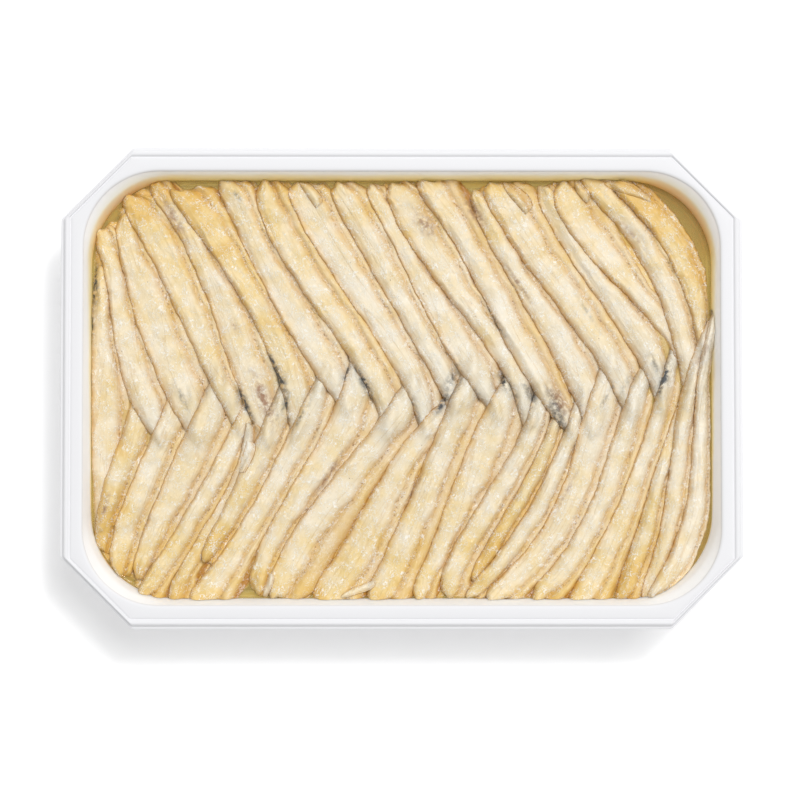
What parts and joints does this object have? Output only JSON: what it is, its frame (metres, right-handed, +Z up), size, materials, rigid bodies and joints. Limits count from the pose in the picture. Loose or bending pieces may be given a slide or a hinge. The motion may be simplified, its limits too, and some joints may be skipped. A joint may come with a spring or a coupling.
{
  "type": "marinated anchovies",
  "caption": "White moulded tray with an eight-sided rim, filled with two slanting rows of overlapping marinated anchovy fillets lying in golden oil.",
  "frame": {"origin": "under the middle of the tray, on the flat face that it rests on", "axes": "+X along the tray's long side, +Y towards the upper row of fillets, +Z up"},
  "size_m": [0.26, 0.1836, 0.04],
  "materials": {
    "tray_plastic": "moulded polypropylene, white, soft sheen",
    "oil": "clear golden oil, mirror smooth",
    "anchovy_flesh": "wet fish flesh with fine fibres along each fillet"
  },
  "bodies": {
    "root": {"tray": "tray_plastic", "marinade_oil": "oil", "anchovy_fillets": "anchovy_flesh"}
  },
  "joints": []
}
